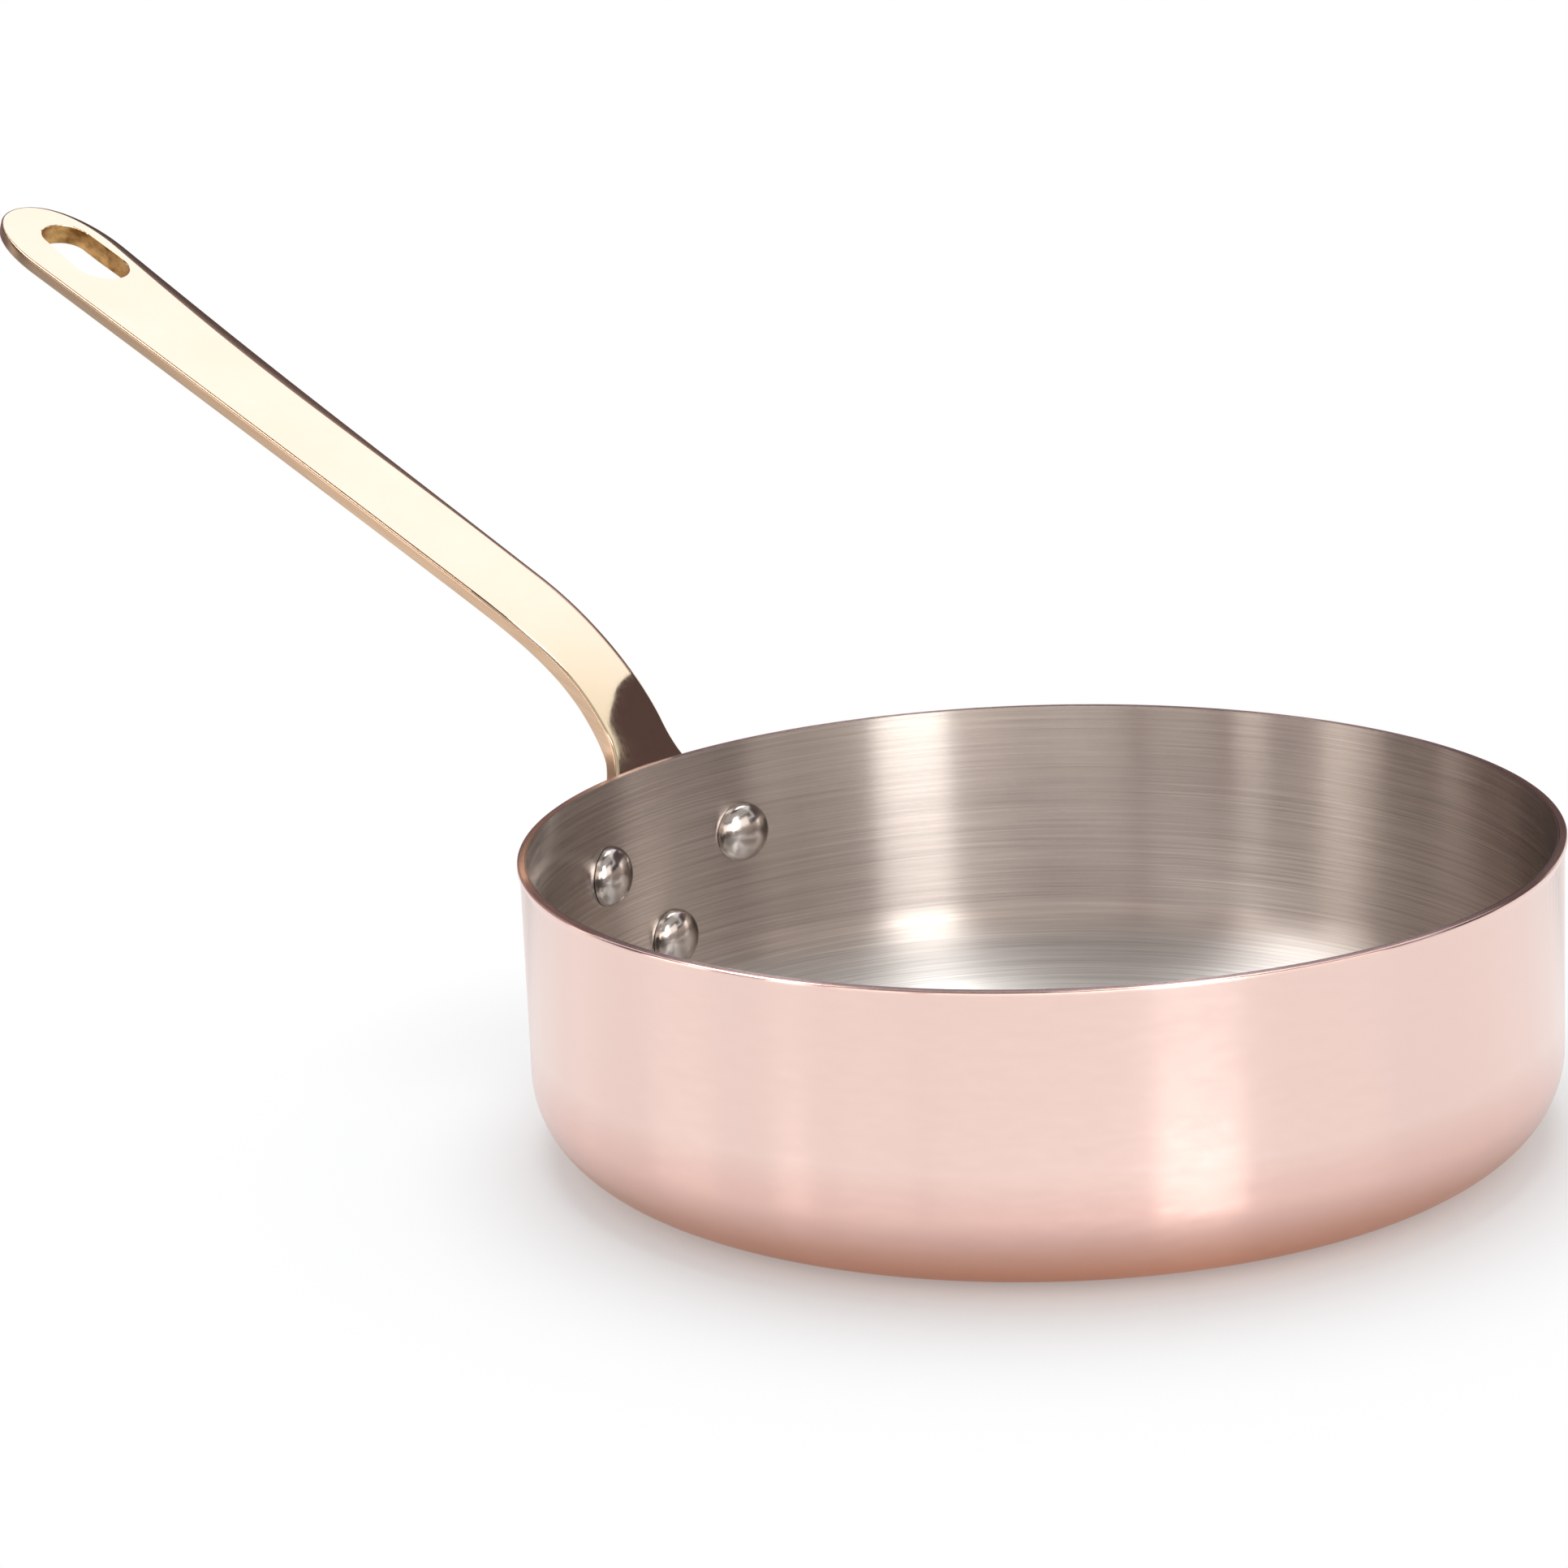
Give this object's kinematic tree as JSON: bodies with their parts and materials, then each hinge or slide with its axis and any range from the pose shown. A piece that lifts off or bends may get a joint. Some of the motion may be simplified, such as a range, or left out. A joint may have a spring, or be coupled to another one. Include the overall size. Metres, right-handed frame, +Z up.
{
  "type": "saute pan",
  "caption": "Round straight-sided copper saute pan with a steel lining and a long riveted cast brass handle that bends out from the wall and ends in a rounded tip with an eye slot.",
  "frame": {"origin": "centre of the flat underside of the pan, where it stands on a table or hob", "axes": "+Z up along the pan's axis, +X along the handle, away from the pan"},
  "size_m": [0.4719, 0.24, 0.1922],
  "materials": {
    "polished_copper": "polished copper",
    "brushed_steel": "brushed round the pan",
    "cast_brass": "polished face, plainer edges and back",
    "polished_rivet_steel": "polished"
  },
  "bodies": {
    "root": {"copper_shell": "polished_copper", "steel_lining": "brushed_steel", "brass_handle": "cast_brass", "rivet_upper_left": "polished_rivet_steel", "rivet_upper_right": "polished_rivet_steel", "rivet_lower": "polished_rivet_steel"}
  },
  "joints": []
}
